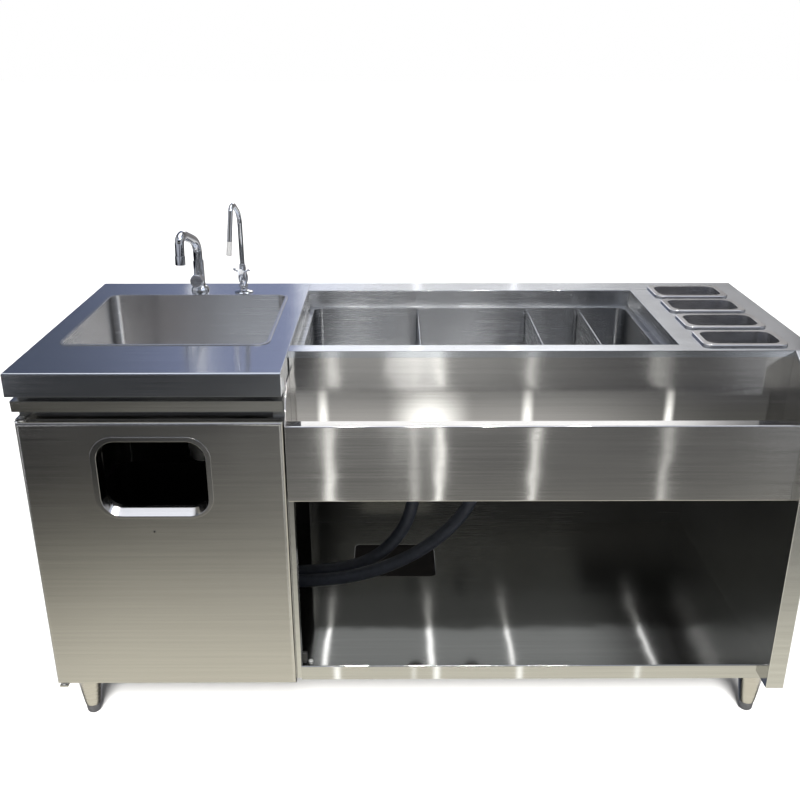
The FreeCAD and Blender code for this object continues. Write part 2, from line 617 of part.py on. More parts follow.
def grip_rail():
    """Leaning pull strip over the door, with the finger recess behind and under it."""
    xs = (LEFT_PANEL_X[0], STILE_X[0])
    back_y = CABINET_FRONT_Y
    top_y, bottom_y = -335.0, -332.5
    low, high = 765.0, 788.0
    strip = profile_prism(((top_y, high), (bottom_y, low), (bottom_y + 2.0, low), (top_y + 2.0, high)),
                          (xs[0], SINK_TOP_RIGHT - 1))
    top = block(xs, (top_y, back_y), (high - SHEET, high))
    shelf = block(xs, (bottom_y, back_y), (low, low + SHEET))
    back = block(xs, (back_y - SHEET, back_y), (725.0, DOWNSTAND_BOTTOM))
    reach = block((STILE_X[0], SINK_TOP_RIGHT - 1), (top_y, -314.0), (high - SHEET, high))
    return fuse([strip, top, shelf, back, reach])


def waste_door_skin():
    def box(by, back_y):
        front_y = DOOR_Y[0] + by
        solid = block(grown(DOOR_X, -by), (front_y, back_y), grown(DOOR_Z, -by))
        front_edges = [edge for edge in solid.Edges if edge.BoundBox.YMax < front_y + 0.1]
        return solid.makeFillet(DOOR_EDGE_RADIUS - by, front_edges)
    outer = box(0, DOOR_Y[1])
    inner = box(DOOR_SHEET, DOOR_Y[1] + 1)
    hole = standing_block(grown(MOUTH_X, 2.0), (-400.0, -300.0), grown(MOUTH_Z, 2.0), MOUTH_CORNER - 6.0)
    pins = rod(vec(HINGE_X, HINGE_Y, DOOR_Z[0] - 10), UP, PIVOT_RADIUS, DOOR_Z[1] - DOOR_Z[0] + 20)
    return outer.cut(inner).cut(hole).cut(pins)


def waste_door_liner():
    """Back sheet of the door, inside the skin's folded edges."""
    sheet = block(grown(DOOR_X, -DOOR_SHEET), (DOOR_Y[1] - 2.0, DOOR_Y[1]), grown(DOOR_Z, -DOOR_SHEET))
    return sheet.cut(standing_block(grown(HOLE_X, 8.0), (-400.0, -300.0), grown(HOLE_Z, 8.0), HOLE_CORNER - 16.0))


def waste_hole_trim():
    """Pressed frame round the waste hole: a flange on the door's face, a funnel, and a collar through the door."""
    def funnel(by, front_y):
        return standing_loft((grown(MOUTH_X, by), grown(MOUTH_Z, by), front_y, MOUTH_CORNER + by),
                             (grown(HOLE_X, by), grown(HOLE_Z, by), FUNNEL_BACK_Y, HOLE_CORNER + by))
    face_y = DOOR_Y[0] - 2.0
    flange = standing_block(TRIM_X, (face_y, DOOR_Y[0]), TRIM_Z, TRIM_CORNER)
    collar = standing_block(grown(HOLE_X, SHEET), (FUNNEL_BACK_Y, DOOR_Y[1] + 8.0), grown(HOLE_Z, SHEET),
                            HOLE_CORNER + SHEET)
    through = standing_block(HOLE_X, (-400.0, -300.0), HOLE_Z, HOLE_CORNER)
    return fuse([flange, funnel(SHEET, DOOR_Y[0]), collar]).cut(funnel(0, face_y)).cut(through)


def door_pivot(z_span, pin_span):
    """Block welded inside the door's corner, with the pivot pin through it."""
    body = block((DOOR_X[0] + DOOR_SHEET, HINGE_X + 16.0), (DOOR_Y[0] + DOOR_EDGE_RADIUS, DOOR_Y[1] - 2.0),
                 z_span)
    pin = rod(vec(HINGE_X, HINGE_Y, pin_span[0]), UP, PIVOT_RADIUS, pin_span[1] - pin_span[0])
    return fuse([body, pin])


BRACKET_X = (-794.0, -776.0)
LOWER_BRACKET_Z = (115.0, 119.0)
UPPER_BRACKET_Z = (746.0, 750.0)
BUSH_RADIUS = 5.5
BUSH_FLANGE_RADIUS = 7.0


def door_pivot_brackets():
    bush_hole = rod(vec(HINGE_X, HINGE_Y, 0), UP, BUSH_RADIUS, TOP_Z)
    front_y = HINGE_Y - 9.0
    upstand_y = (CABINET_FRONT_Y + SHEET, CABINET_FRONT_Y + SHEET + 3.0)
    lower = fuse([
        block(BRACKET_X, (front_y, upstand_y[1]), LOWER_BRACKET_Z),
        block(BRACKET_X, upstand_y, (LOWER_BRACKET_Z[0], 150.0)),
    ])
    upper = block(BRACKET_X, (front_y, CABINET_FRONT_Y - SHEET), UPPER_BRACKET_Z)
    return lower.cut(bush_hole), upper.cut(bush_hole)


def door_pivot_bush(flange_z, sleeve_z):
    bore = PIVOT_RADIUS + RUNNING_CLEARANCE
    at = vec(HINGE_X, HINGE_Y, 0)
    flange = rod(at + UP * flange_z[0], UP, BUSH_FLANGE_RADIUS, flange_z[1] - flange_z[0])
    sleeve = rod(at + UP * sleeve_z[0], UP, BUSH_RADIUS, sleeve_z[1] - sleeve_z[0])
    return fuse([flange, sleeve]).cut(rod(at, UP, bore, TOP_Z))


def waste_bin():
    """Tapered plastic bin that stands on the deck behind the door."""
    def bin_wire(by, z, taper):
        inset = taper - by
        return rounded_wire((-700.0 + inset, -372.0 - inset), (-285.0 + inset, -32.0 - inset), z, 30.0 + by)
    wall, floor, top = 2.5, DECK_Z, 520.0
    body = Part.makeLoft([bin_wire(0, floor, 18.0), bin_wire(0, top, 0)], True, True)
    hollow = Part.makeLoft([bin_wire(-wall, floor + wall, 18.0), bin_wire(-wall, top + 0.01, 0)], True, True)
    lip = Part.Face(bin_wire(0, top - 6.0, -5.0)).extrude(UP * 6.0)
    return fuse([body, lip]).cut(hollow)


def leg_socket(x, y):
    plate = block((x - 30, x + 30), (y - 30, y + 30), (DECK_Z - SHEET - 3.0, DECK_Z - SHEET))
    boss = rod(vec(x, y, FOOT_TOP + 0.3), UP, 15.0, DECK_Z - SHEET - 3.0 - FOOT_TOP - 0.3)
    bore = rod(vec(x, y, 0), UP, 6.0 + RUNNING_CLEARANCE, DECK_Z - SHEET - 4.0)
    return fuse([plate, boss]).cut(bore)


def socket_screw(x, y):
    """Cap screw under a corner of a leg plate."""
    return rod(vec(x, y, DECK_Z - SHEET - 7.0), UP, 4.5, 4.0)


def foot(x, y):
    """Bullet foot: a tapered cup on a threaded stem."""
    tip = FOOT_TIP_HEIGHT
    return turned((
        (0, tip), (17.0, tip), (19.0, 34.0), (25.5, 84.0), (27.0, 116.0), (24.5, FOOT_TOP), (6.0, FOOT_TOP),
        (6.0, 150.0), (0, 150.0),
    ), (x, y))


def foot_tip(x, y):
    return turned(((0, 0), (12.5, 0), (15.0, 4.0), (16.5, FOOT_TIP_HEIGHT), (0, FOOT_TIP_HEIGHT)), (x, y))


def nozzle(at, direction, radius, length):
    """Sleeve on the end of a spout, hollow at its mouth."""
    mouth_depth = 8.0
    mouth = rod(at + direction * (length - mouth_depth), direction, 0.65 * radius, mouth_depth + 1)
    return rod(at, direction, radius, length).cut(mouth)


def bar_tap():
    at = BAR_TAP_AT
    shank_radius, shank_bottom = 8.0, 900.0
    body = turned((
        (0, TOP_Z), (22.0, TOP_Z), (22.0, 854.0), (18.5, 860.0), (14.0, 863.0), (13.0, 870.0),
        (13.0, BAR_TAP_TOP), (shank_radius + RUNNING_CLEARANCE, BAR_TAP_TOP),
        (shank_radius + RUNNING_CLEARANCE, shank_bottom), (0, shank_bottom),
    ), at)
    shank = rod(vec(*at, SHANK_END_Z), UP, BAR_TAP_SHANK, TOP_Z - SHANK_END_Z)
    facing = BACK * -1
    centre = vec(*at, BAR_TAP_KNOB_Z)
    neck = rod(centre, facing, 9.0, 23.0)
    stem_bore = rod(centre + facing * 8, facing, 4.0 + RUNNING_CLEARANCE, 40)
    body = fuse([body, shank, neck]).cut(stem_bore)

    stem = rod(centre + facing * 10, facing, 4.0, 20)
    cap = rod(centre + facing * 23.5, facing, 15.5, 19.0)
    rims = [edge for edge in cap.Edges if len(edge.Vertexes) == 1]
    knob = fuse([cap.makeFillet(2.0, rims), stem])

    crest = toward_sink(BAR_TAP_TURN, 90.0, 1009.0, at)
    outlet = toward_sink(BAR_TAP_TURN, 94.7, 955.0, at)
    path = bent_wire([vec(*at, BAR_TAP_TOP), vec(*at, 971.0), crest, outlet], (40.0, 20.0))
    spout_shank = rod(vec(*at, shank_bottom + 0.3), UP, shank_radius, BAR_TAP_TOP - shank_bottom - 0.3)
    spout = fuse([tube_along(path, BAR_SPOUT_RADIUS), spout_shank])
    aerator = nozzle(outlet, (outlet - crest).normalize(), BAR_SPOUT_RADIUS + 1.0, 21.0)
    return body, knob, spout, aerator


def gooseneck_tap():
    at = GOOSENECK_AT
    shank_bottom = 900.0
    bore = 4.5 + RUNNING_CLEARANCE
    body = turned((
        (0, TOP_Z), (22.5, TOP_Z), (22.5, 851.5), (20.0, 853.5), (10.0, 856.0), (8.0, 860.0), (11.0, 864.0),
        (11.0, 868.0), (8.5, 871.0), (11.5, 880.0), (12.0, 888.0), (10.5, 897.0), (8.0, 902.0),
        (8.0, GOOSENECK_TOP), (0, GOOSENECK_TOP),
    ), at)
    shank = rod(vec(*at, SHANK_END_Z), UP, GOOSENECK_SHANK, TOP_Z - SHANK_END_Z)
    facing = vec(0, -math.cos(HANDLE_RISE), math.sin(HANDLE_RISE))
    centre = vec(*at, HANDLE_Z)
    neck_length = 28.0
    neck = rod(centre, facing, 6.5, neck_length)
    stem_bore = rod(centre + facing * 9, facing, 3.0 + RUNNING_CLEARANCE, neck_length)
    spout_bore = rod(vec(*at, shank_bottom), UP, bore, 30)
    body = fuse([body, shank, neck]).cut(stem_bore).cut(spout_bore)

    hub_from, hub_length = neck_length + 0.5, 11.0
    hub = rod(centre + facing * hub_from, facing, 8.0, hub_length)
    stem = rod(centre + facing * 10, facing, 3.0, neck_length - 9.0)
    side = facing.cross(UP).normalize()
    above = side.cross(facing).normalize()
    pieces = [hub, stem]
    hub_centre = centre + facing * (hub_from + hub_length / 2)
    arm_count, arm_length, first_arm = 3, 20.0, math.radians(33.0)
    for step in range(arm_count):
        angle = first_arm + 2 * math.pi * step / arm_count
        out = side * math.cos(angle) + above * math.sin(angle)
        pieces.append(rod(hub_centre, out, 2.3, arm_length))
        pieces.append(Part.makeSphere(3.6, hub_centre + out * arm_length))
    handle = fuse(pieces)
    button = rod(centre + facing * (hub_from + hub_length), facing, 6.0, 2.0)

    crest = toward_sink(GOOSENECK_TURN, 55.0, 1081.0, at)
    outlet = toward_sink(GOOSENECK_TURN, 84.6, 990.0, at)
    path = bent_wire([vec(*at, GOOSENECK_TOP), vec(*at, 1040.0), crest, outlet], (45.0, 20.0))
    ring = turned(((0, GOOSENECK_TOP), (7.5, GOOSENECK_TOP), (7.5, 920.0), (0, 922.0)), at)
    spout_shank = rod(vec(*at, shank_bottom + 0.3), UP, 4.5, GOOSENECK_TOP - shank_bottom - 0.3)
    spout = fuse([tube_along(path, GOOSENECK_RADIUS), ring, spout_shank])
    tip = nozzle(outlet, (outlet - crest).normalize(), GOOSENECK_RADIUS + 0.6, 31.0)
    return body, handle, button, spout, tip


def tap_nut(at, shank_radius, nut_radius):
    """Round nut under the worktop that clamps a tap by its shank."""
    return turned(((shank_radius, 835.0), (nut_radius, 835.0), (nut_radius, TOP_UNDERSIDE),
                   (shank_radius, TOP_UNDERSIDE)), at)


def drain_hose(name, points):
    """Free hose along hand-chosen points, with its bend radii and volume printed."""
    corners = [vec(*point) for point in points]
    radii = [bend_radius(*three) for three in zip(corners, corners[1:], corners[2:])]
    path = bent_wire(corners, radii)
    hose = tube_along(path, HOSE_RADIUS)
    expected = math.pi * HOSE_RADIUS ** 2 * path.Length
    ratio = round(hose.Volume / expected, 4)
    print(name, "bend radii", [round(radius) for radius in radii], "volume ratio", ratio)
    return hose


os.makedirs("parts", exist_ok=True)

# Tops and sink
save("sink_worktop", sink_worktop())
save("bar_top", bar_top())
save("sink_bowl", sink_bowl())
save("sink_waste_body", sink_waste_body())
save("strainer_basket", strainer_basket())
save("sink_trap", sink_trap())

# Ice well and its drains
save("ice_well_liner", ice_well_liner())
save("ice_well_insulation", ice_well_insulation())
save("ice_well_jacket", ice_well_jacket())
save("false_bottom", false_bottom())
TANK_Y = grown(WELL_Y, -LEDGE_WIDTH)
save("divider_guides", *[divider_guide(x, wall, inward) for x in DIVIDER_XS
                         for wall, inward in ((TANK_Y[0], 1), (TANK_Y[1], -1))])
for number, x in enumerate(DIVIDER_XS, start=1):
    save(f"divider_{number}", divider(x))
save("well_drains", *[well_drain(x) for x in DRAIN_XS])
save("hose_clamps", *[hose_clamp(x) for x in DRAIN_XS])
save("drain_hose_1", drain_hose("drain_hose_1", HOSE_1))
save("drain_hose_2", drain_hose("drain_hose_2", HOSE_2))
save("drain_manifold", drain_manifold())

# Speed rail and garnish pans
save("speed_rail", speed_rail())
save("rail_end_plate", rail_end_plate())
save("garnish_housing", garnish_housing())
for number, y in enumerate(PAN_YS, start=1):
    save(f"garnish_pan_{number}", garnish_pan(y))

# Carcass
save("right_side_panel", right_side_panel())
save("left_side_panel", left_side_panel())
save("partition_panel", partition_panel())
save("back_panel", back_panel())
save("base_deck", base_deck())
save("deck_stiffeners", *[deck_stiffener(x) for x in (-560.0, -215.0, 250.0, 560.0)])
save("grip_rail", grip_rail())

# Waste door and bin
save("waste_door_skin", waste_door_skin())
save("waste_door_liner", waste_door_liner())
save("waste_hole_trim", waste_hole_trim())
save("door_pivots",
     door_pivot((DOOR_Z[0] + DOOR_SHEET, 162.0), (LOWER_BRACKET_Z[0], 162.0)),
     door_pivot((703.0, DOOR_Z[1] - DOOR_SHEET), (703.0, UPPER_BRACKET_Z[1])))
save("door_pivot_brackets", *door_pivot_brackets())
save("door_pivot_bushes",
     door_pivot_bush((LOWER_BRACKET_Z[1], DOOR_Z[0]), LOWER_BRACKET_Z),
     door_pivot_bush((DOOR_Z[1] + 0.3, UPPER_BRACKET_Z[0]), UPPER_BRACKET_Z))
save("waste_bin", waste_bin())

# Feet
FEET = {
    "front_left": (-FOOT_X, -FOOT_Y),
    "front_right": (FOOT_X, -FOOT_Y),
    "rear_left": (-FOOT_X, FOOT_Y),
    "rear_right": (FOOT_X, FOOT_Y),
}
save("leg_sockets", *[leg_socket(x, y) for x, y in FEET.values()])
save("socket_screws", *[socket_screw(x + dx, y + dy) for x, y in FEET.values()
                        for dx in (-22, 22) for dy in (-22, 22)])
for name, (x, y) in FEET.items():
    save(f"foot_{name}", foot(x, y))
    save(f"foot_tip_{name}", foot_tip(x, y))

# Taps
for piece, shape in zip(("body", "knob", "spout", "aerator"), bar_tap()):
    save(f"bar_tap_{piece}", shape)
for piece, shape in zip(("body", "handle", "button", "spout", "tip"), gooseneck_tap()):
    save(f"gooseneck_{piece}", shape)
save("tap_nuts", tap_nut(BAR_TAP_AT, BAR_TAP_SHANK, 19.0), tap_nut(GOOSENECK_AT, GOOSENECK_SHANK, 15.0))
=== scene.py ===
import bpy
import json
import math
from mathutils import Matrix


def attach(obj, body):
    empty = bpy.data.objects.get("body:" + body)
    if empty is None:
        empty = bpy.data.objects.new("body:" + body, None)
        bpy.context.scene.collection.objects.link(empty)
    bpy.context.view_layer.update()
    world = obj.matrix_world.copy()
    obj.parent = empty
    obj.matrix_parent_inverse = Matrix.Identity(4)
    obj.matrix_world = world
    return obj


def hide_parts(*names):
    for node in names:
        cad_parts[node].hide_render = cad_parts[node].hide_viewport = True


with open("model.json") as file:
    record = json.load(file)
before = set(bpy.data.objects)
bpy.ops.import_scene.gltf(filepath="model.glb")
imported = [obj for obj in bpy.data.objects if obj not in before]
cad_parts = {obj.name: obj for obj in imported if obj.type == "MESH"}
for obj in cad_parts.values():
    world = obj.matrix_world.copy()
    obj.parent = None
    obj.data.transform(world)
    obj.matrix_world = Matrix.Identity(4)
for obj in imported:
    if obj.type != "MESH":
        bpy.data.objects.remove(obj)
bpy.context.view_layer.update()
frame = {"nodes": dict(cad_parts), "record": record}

# Studio floor: a pale floor that runs out of sight under the station.
# Only the camera and matt surfaces see it. The steel mirrors the cards below instead.
FLOOR_SIZE = 60.0
bpy.ops.object.select_all(action="DESELECT")
bpy.ops.mesh.primitive_plane_add(size=FLOOR_SIZE, location=(0, 0, 0))
floor = bpy.context.object
floor.name = "studio_floor"
floor.visible_glossy = False


class Wire:
    """A value in a node tree. Sums, differences, products and quotients of wires add Math nodes."""

    def __init__(self, finish, socket):
        self.finish = finish
        self.socket = socket

    def math(self, operation, first, second):
        return self.finish.node("ShaderNodeMath", {"operation": operation}, {0: first, 1: second})

    def __add__(self, other):
        return self.math("ADD", self, other)

    def __radd__(self, other):
        return self.math("ADD", other, self)

    def __sub__(self, other):
        return self.math("SUBTRACT", self, other)

    def __rsub__(self, other):
        return self.math("SUBTRACT", other, self)

    def __mul__(self, other):
        return self.math("MULTIPLY", self, other)

    def __rmul__(self, other):
        return self.math("MULTIPLY", other, self)

    def __truediv__(self, other):
        return self.math("DIVIDE", self, other)

    def __rtruediv__(self, other):
        return self.math("DIVIDE", other, self)

    def __gt__(self, other):
        return self.math("GREATER_THAN", self, other)

    def __lt__(self, other):
        return self.math("LESS_THAN", self, other)

    def __abs__(self):
        return self.math("ABSOLUTE", self, 0.0)


class Graph:
    """The nodes of one material, or of the world."""

    def __init__(self, tree):
        self.tree = tree

    def node(self, kind, settings, inputs, output=0):
        node = self.tree.nodes.new(kind)
        for name, value in settings.items():
            setattr(node, name, value)
        for name, value in inputs.items():
            self.plug(value, node.inputs[name])
        return Wire(self, node.outputs[output])

    def plug(self, value, socket):
        if isinstance(value, Wire):
            self.tree.links.new(value.socket, socket)
        else:
            socket.default_value = value

    def place(self, output="Object"):
        """The three parts of a point's place, in metres, or of the surface's direction."""
        where = self.node("ShaderNodeTexCoord", {}, {}, output)
        return [self.node("ShaderNodeSeparateXYZ", {}, {"Vector": where}, axis) for axis in "XYZ"]

    def noise(self, x, y, z, detail=2.0, roughness=0.5):
        vector = self.node("ShaderNodeCombineXYZ", {}, {"X": x, "Y": y, "Z": z})
        return self.node("ShaderNodeTexNoise", {}, {
            "Vector": vector, "Scale": 1.0, "Detail": detail, "Roughness": roughness,
        }, "Fac")

    def speckle(self, scale, detail=2.0):
        """Noise that is alike in all directions, with scale grains to the metre."""
        x, y, z = self.place()
        return self.noise(x * scale, y * scale, z * scale, detail)

    def spread(self, value, low, high):
        """A noise value stretched about its middle to run from low to high."""
        return self.node("ShaderNodeMapRange", {}, {
            "Value": value, "From Min": 0.3, "From Max": 0.7, "To Min": low, "To Max": high,
        })

    def ramp(self, value, start, end, low=0.0, high=1.0):
        """A smooth step that is low at start and high at end."""
        return self.node("ShaderNodeMapRange", {"interpolation_type": "SMOOTHSTEP"}, {
            "Value": value, "From Min": start, "From Max": end, "To Min": low, "To Max": high,
        })

    def band(self, value, start, full, fade, end):
        """One between full and fade, and nothing before start or after end."""
        return self.ramp(value, start, full) * self.ramp(value, end, fade)

    def lines(self, value, centres_and_widths):
        """Soft lines across a value, each brightest at its centre."""
        total = 0.0
        for centre, width in centres_and_widths:
            total = total + self.ramp(abs(value - centre), width, 0.0)
        return total

    def tint(self, factor, dark, light):
        """A blend of two colours, or of wires that carry colours."""
        ends = [end if isinstance(end, Wire) else (*end, 1) for end in (dark, light)]
        inputs = {"Factor": factor, 6: ends[0], 7: ends[1]}
        return self.node("ShaderNodeMix", {"data_type": "RGBA"}, inputs, 2)


class Finish(Graph):
    """One material: a Principled shader whose varying sockets are fed by wires."""

    def __init__(self, name, **constants):
        self.material = bpy.data.materials.new(name)
        self.material.use_nodes = True
        super().__init__(self.material.node_tree)
        self.shader = self.tree.nodes["Principled BSDF"]
        for socket, value in constants.items():
            self.shader.inputs[socket.replace("_", " ")].default_value = value

    def feed(self, name, value):
        self.plug(value, self.shader.inputs[name])

    def mottle(self, scale, dark, light):
        """A base colour that wanders between two close tones."""
        self.feed("Base Color", self.tint(self.spread(self.speckle(scale), 0.0, 1.0), dark, light))

    def relief(self, height):
        """Bump from a height in metres."""
        bump = self.node("ShaderNodeBump", {}, {"Height": height, "Distance": 1.0, "Strength": 1.0})
        self.feed("Normal", bump)


floor_finish = Finish("studio_floor", Roughness=0.6)
floor_finish.mottle(2, (0.80, 0.79, 0.77), (0.82, 0.81, 0.79))
floor.data.materials.append(floor_finish.material)

# Hall: what the steel mirrors above the floor. Bearing is the step sideways for each step back or forward.
# Behind the station stands a blue and grey wall with three upright light tubes and one bright panel.
BLACK = (0.0, 0.0, 0.0)
WHITE = (1.0, 1.0, 1.0)
DIM_BLUE = (0.10, 0.12, 0.18)
WALL_BLUE = (0.31, 0.35, 0.53)
WALL_GREY = (0.24, 0.23, 0.23)
TUBE_LIGHT = (1.6, 1.6, 1.6)
TUBES = ((-0.2155, 0.007), (0.0226, 0.007), (0.126, 0.007))
PANEL_HEIGHT = (0.302, 0.327, 0.50, 0.58)
PANEL_BEARING = (-0.125, -0.10, 0.44, 0.48)
PANEL_BRIGHT = (2.8, 2.8, 2.83)
PANEL_PALE = (1.15, 1.13, 1.11)
CEILING = (1.55, 1.6, 1.75)
world = bpy.data.worlds.new("hall")
bpy.context.scene.world = world
world.use_nodes = True
hall = Graph(world.node_tree)
hall_x, hall_y, hall_z = hall.place("Generated")
bearing = hall_x / abs(hall_y)
behind = hall_y > 0.1
before = -0.1 > hall_y
wall = hall.tint(hall.ramp(bearing, -0.42, -0.12), DIM_BLUE, WALL_BLUE)
wall = hall.tint(hall.ramp(bearing, -0.12, 0.02), wall, WALL_GREY)
wall = hall.tint(hall.ramp(hall_y, 0.2, 0.9), BLACK, wall)
wall = hall.tint(hall.lines(bearing, TUBES) * behind * (hall_z > 0.1), wall, TUBE_LIGHT)
panel = hall.band(hall_z, *PANEL_HEIGHT) * hall.band(bearing, *PANEL_BEARING) * behind
wall = hall.tint(panel, wall, hall.tint(hall.ramp(bearing, 0.18, 0.38), PANEL_BRIGHT, PANEL_PALE))
wall = hall.tint(hall.ramp(hall_z, 0.80, 0.92), wall, CEILING)

# The front of the hall is dim straight ahead, and paler to the sides, along the horizon and high up.
# Matt surfaces get less of its light, and the camera sees plain white.
FRONT_HEIGHT = (0.20, 0.26, 0.38, 0.46)
FRONT_GREY = (0.15, 0.15, 0.15)
SIDE_HEIGHT = (0.02, 0.08, 0.60, 0.75)
SIDE_GREY = (0.42, 0.43, 0.46)
HORIZON_HEIGHT = (-0.10, -0.05, 0.11, 0.17)
HORIZON_BEARING = 0.1
HORIZON_DARK = (0.06, 0.06, 0.08)
HORIZON_PALE = (0.42, 0.44, 0.50)
HIGH_HEIGHT = (0.60, 0.66, 0.76, 0.82)
HIGH_LIGHT = (0.95, 1.05, 1.30)
MATT_LOSS = 0.6
front = hall.band(hall_z, *FRONT_HEIGHT) * before * hall.ramp(abs(bearing), 0.8, 0.5)
wall = hall.tint(front, wall, FRONT_GREY)
beside = hall.band(hall_z, *SIDE_HEIGHT)
wall = hall.tint(hall.ramp(abs(hall_y), 0.55, 0.25) * beside, wall, SIDE_GREY)
wall = hall.tint(hall.ramp(abs(bearing), 0.55, 0.90) * beside * before, wall, SIDE_GREY)
horizon_tone = hall.tint(hall.ramp(abs(bearing - HORIZON_BEARING), 0.10, 0.22), HORIZON_DARK, HORIZON_PALE)
wall = hall.tint(hall.band(hall_z, *HORIZON_HEIGHT) * before, wall, horizon_tone)
high_front = hall.band(hall_z, *HIGH_HEIGHT) * before * hall.ramp(hall_x, -0.42, -0.10, 0.25, 1.0)
wall = hall.tint(high_front, wall, HIGH_LIGHT)
matt_light = hall.node("ShaderNodeLightPath", {}, {}, "Is Diffuse Ray")
wall = hall.tint(matt_light * MATT_LOSS, wall, BLACK)
seen_by_camera = hall.node("ShaderNodeLightPath", {}, {}, "Is Camera Ray")
hall.plug(hall.tint(seen_by_camera, wall, WHITE), world.node_tree.nodes["Background"].inputs["Color"])

# Front card: a painted reflection of the floor as the upright steel in front mirrors it, pale near the
# station, dark far off and to the left, with a painted pool of light and painted glints to the sides.
# Painted light strips fan out over it from a hub behind the station, and draw the upright streaks.
# Each strip has its slope from the hub, its width and its strength.
CARD_Z = 0.002
STRIP_HUB = (-0.054, 1.392)
STRIPS = (
    (-0.0763, 0.007, 1.0),
    (0.0219, 0.006, 0.35),
    (0.0504, 0.0075, 1.0),
    (0.158, 0.0065, 0.9),
    (0.3095, 0.0055, 0.7),
)
STRIP_LIGHT = (2.3, 2.3, 2.2)
POOL_SLOPE = 0.022
POOL_LIGHT = (1.9, 1.9, 1.85)
NEAR_FLOOR = (1.05, 1.01, 0.85)
FAR_FLOOR = (0.15, 0.15, 0.145)
FARTHEST_FLOOR = (0.56, 0.56, 0.545)
DARK_FLOOR = (0.010, 0.010, 0.010)
RIGHT_FLOOR = (0.08, 0.08, 0.08)
GLINT_CENTRE = -0.2
GLINT_DEPTH = (-4.6, -4.2, -1.4, -1.0)
GLINT_LIGHT = (2.0, 2.05, 2.15)


def add_card(name, corner_low, corner_high):
    """A flat card that shows in shiny surfaces only, with a finish for its glow."""
    spans = [high - low for low, high in zip(corner_low, corner_high)]
    bpy.ops.object.select_all(action="DESELECT")
    bpy.ops.mesh.primitive_plane_add(size=1.0)
    card = bpy.context.object
    card.name = name
    if spans[2]:
        card.rotation_euler = (math.pi / 2, 0, 0)
    card.scale = (spans[0], spans[1] + spans[2], 1)
    card.location = [(low + high) / 2 for low, high in zip(corner_low, corner_high)]
    bpy.ops.object.transform_apply(location=True, rotation=True, scale=True)
    card.visible_camera = False
    card.visible_diffuse = False
    card.visible_shadow = False
    glow = Finish(name, Roughness=1.0, Emission_Strength=1.0)
    glow.feed("Base Color", (*BLACK, 1))
    card.data.materials.append(glow.material)
    return glow


front_card = add_card("studio_card", (-3.0, -6.0, CARD_Z), (3.0, -0.28, CARD_Z))
card_x, card_y = front_card.place()[:2]
slope = (card_x - STRIP_HUB[0]) / (STRIP_HUB[1] - card_y)
strips = 0.0
for strip_slope, strip_width, strength in STRIPS:
    strips = strips + front_card.ramp(abs(slope - strip_slope), strip_width, 0.0, 0.0, strength)
near = front_card.ramp(card_y, -1.9, -0.40)
far_tone = front_card.tint(front_card.ramp(card_x, -1.2, -0.35), DARK_FLOOR, FAR_FLOOR)
farthest_tone = front_card.tint(front_card.ramp(card_x, -0.52, -0.35), DARK_FLOOR, FARTHEST_FLOOR)
farthest_tone = front_card.tint(front_card.ramp(card_x, 0.1, 1.2), farthest_tone, RIGHT_FLOOR)
far_tone = front_card.tint(front_card.ramp(card_y, -2.7, -2.1), farthest_tone, far_tone)
floor_tone = front_card.tint(near * near, far_tone, NEAR_FLOOR)
floor_tone = front_card.tint(front_card.ramp(card_x, -1.7, -0.7, 0.3, 1.0), BLACK, floor_tone)
pool = front_card.ramp(abs(slope - POOL_SLOPE), 0.042, 0.018) * front_card.ramp(card_y, -2.2, -2.6)
floor_tone = front_card.tint(pool, floor_tone, POOL_LIGHT)
glints = front_card.ramp(abs(card_x - GLINT_CENTRE), 2.1, 2.25) * front_card.band(card_y, *GLINT_DEPTH)
floor_tone = front_card.tint(glints, floor_tone, GLINT_LIGHT)
front_card.feed("Emission Color", front_card.tint(strips, floor_tone, STRIP_LIGHT))

# Side and back cards: plain cards on the floor that the ends and the back mirror.
# They glow paler close to the station, a painted pool of light round it.
CLOSE_FLOOR = (1.0, 1.0, 1.0)
OUTER_FLOOR = (0.30, 0.30, 0.31)
for name, corner_low, corner_high in (
        ("left_card", (-3.0, -0.42, CARD_Z), (-0.86, 3.0, CARD_Z)),
        ("right_card", (0.86, -0.42, CARD_Z), (3.0, 3.0, CARD_Z)),
        ("back_card", (-0.86, 0.42, CARD_Z), (0.86, 3.0, CARD_Z))):
    surround = add_card(name, corner_low, corner_high)
    around_x, around_y = surround.place()[:2]
    beyond = surround.ramp(abs(around_x), 0.8, 2.4) + surround.ramp(around_y, 0.35, 2.4)
    surround.feed("Emission Color", surround.tint(beyond, CLOSE_FLOOR, OUTER_FLOOR))

# Lights: a broad sun that lights the floor alone, and four small lamps in a row over the front.
# The lamps light everything but the floor.
FLOOR_LIGHT = 8.5
FLOOR_LIGHT_ANGLE = math.radians(25)
FLOOR_LIGHT_TILT = math.radians(52)
LAMP_WHITE = (1.0, 0.97, 0.93)
LAMP_SIZE = 0.07
LAMP_Y = -0.90
LAMP_Z = 2.5
LAMP_AIM_Y = -0.40
LAMP_AIM_Z = 0.5
LAMPS = ((-0.23, 11), (0.06, 11), (0.31, 11), (0.66, 5))
not_the_floor = bpy.data.collections.new("not_the_floor")
only_the_floor = bpy.data.collections.new("only_the_floor")
for group, state in ((not_the_floor, "EXCLUDE"), (only_the_floor, "INCLUDE")):
    group.objects.link(floor)
    group.collection_objects[0].light_linking.link_state = state
bpy.ops.object.light_add(type="SUN", location=(0, 0, 6))
floor_light = bpy.context.object
floor_light.name = "floor_light"
floor_light.data.energy = FLOOR_LIGHT
floor_light.data.angle = FLOOR_LIGHT_ANGLE
floor_light.rotation_euler = (FLOOR_LIGHT_TILT, 0, 0)
floor_light.light_linking.receiver_collection = only_the_floor
